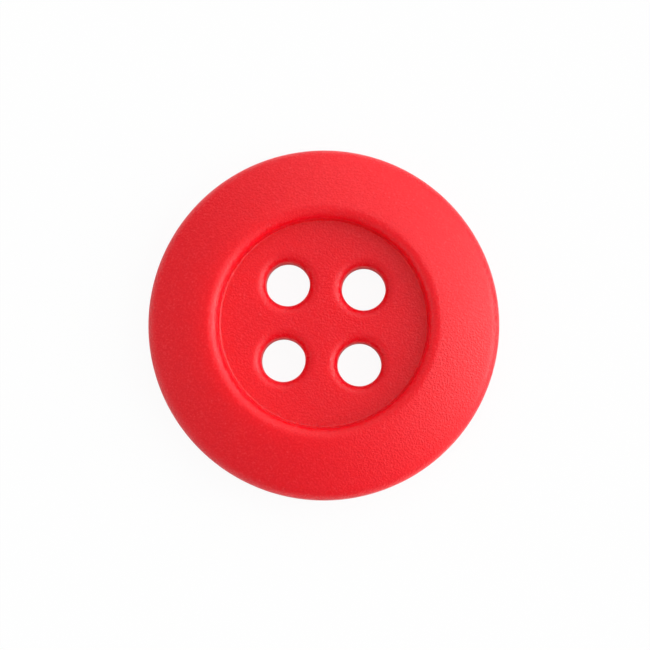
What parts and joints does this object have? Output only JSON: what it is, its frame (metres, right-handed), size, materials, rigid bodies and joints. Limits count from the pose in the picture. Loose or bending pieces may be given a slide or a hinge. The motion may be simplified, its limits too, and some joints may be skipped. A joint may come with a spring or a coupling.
{
  "type": "four-hole sewing button",
  "caption": "Round moulded plastic sewing button with a broad sloping rim, a rolled lip, a sunken well and thread holes through its floor.",
  "frame": {"origin": "middle of the flat back, at the height of the surface that the button lies on", "axes": "+Z out of the face of the button, along its axis; +X and +Y along the two lines of the square of thread holes"},
  "size_m": [0.0204, 0.0204, 0.003],
  "materials": {
    "moulded_plastic": "red, coloured through, with a fine spark-eroded matte grain"
  },
  "bodies": {
    "root": {"button": "moulded_plastic"}
  },
  "joints": []
}
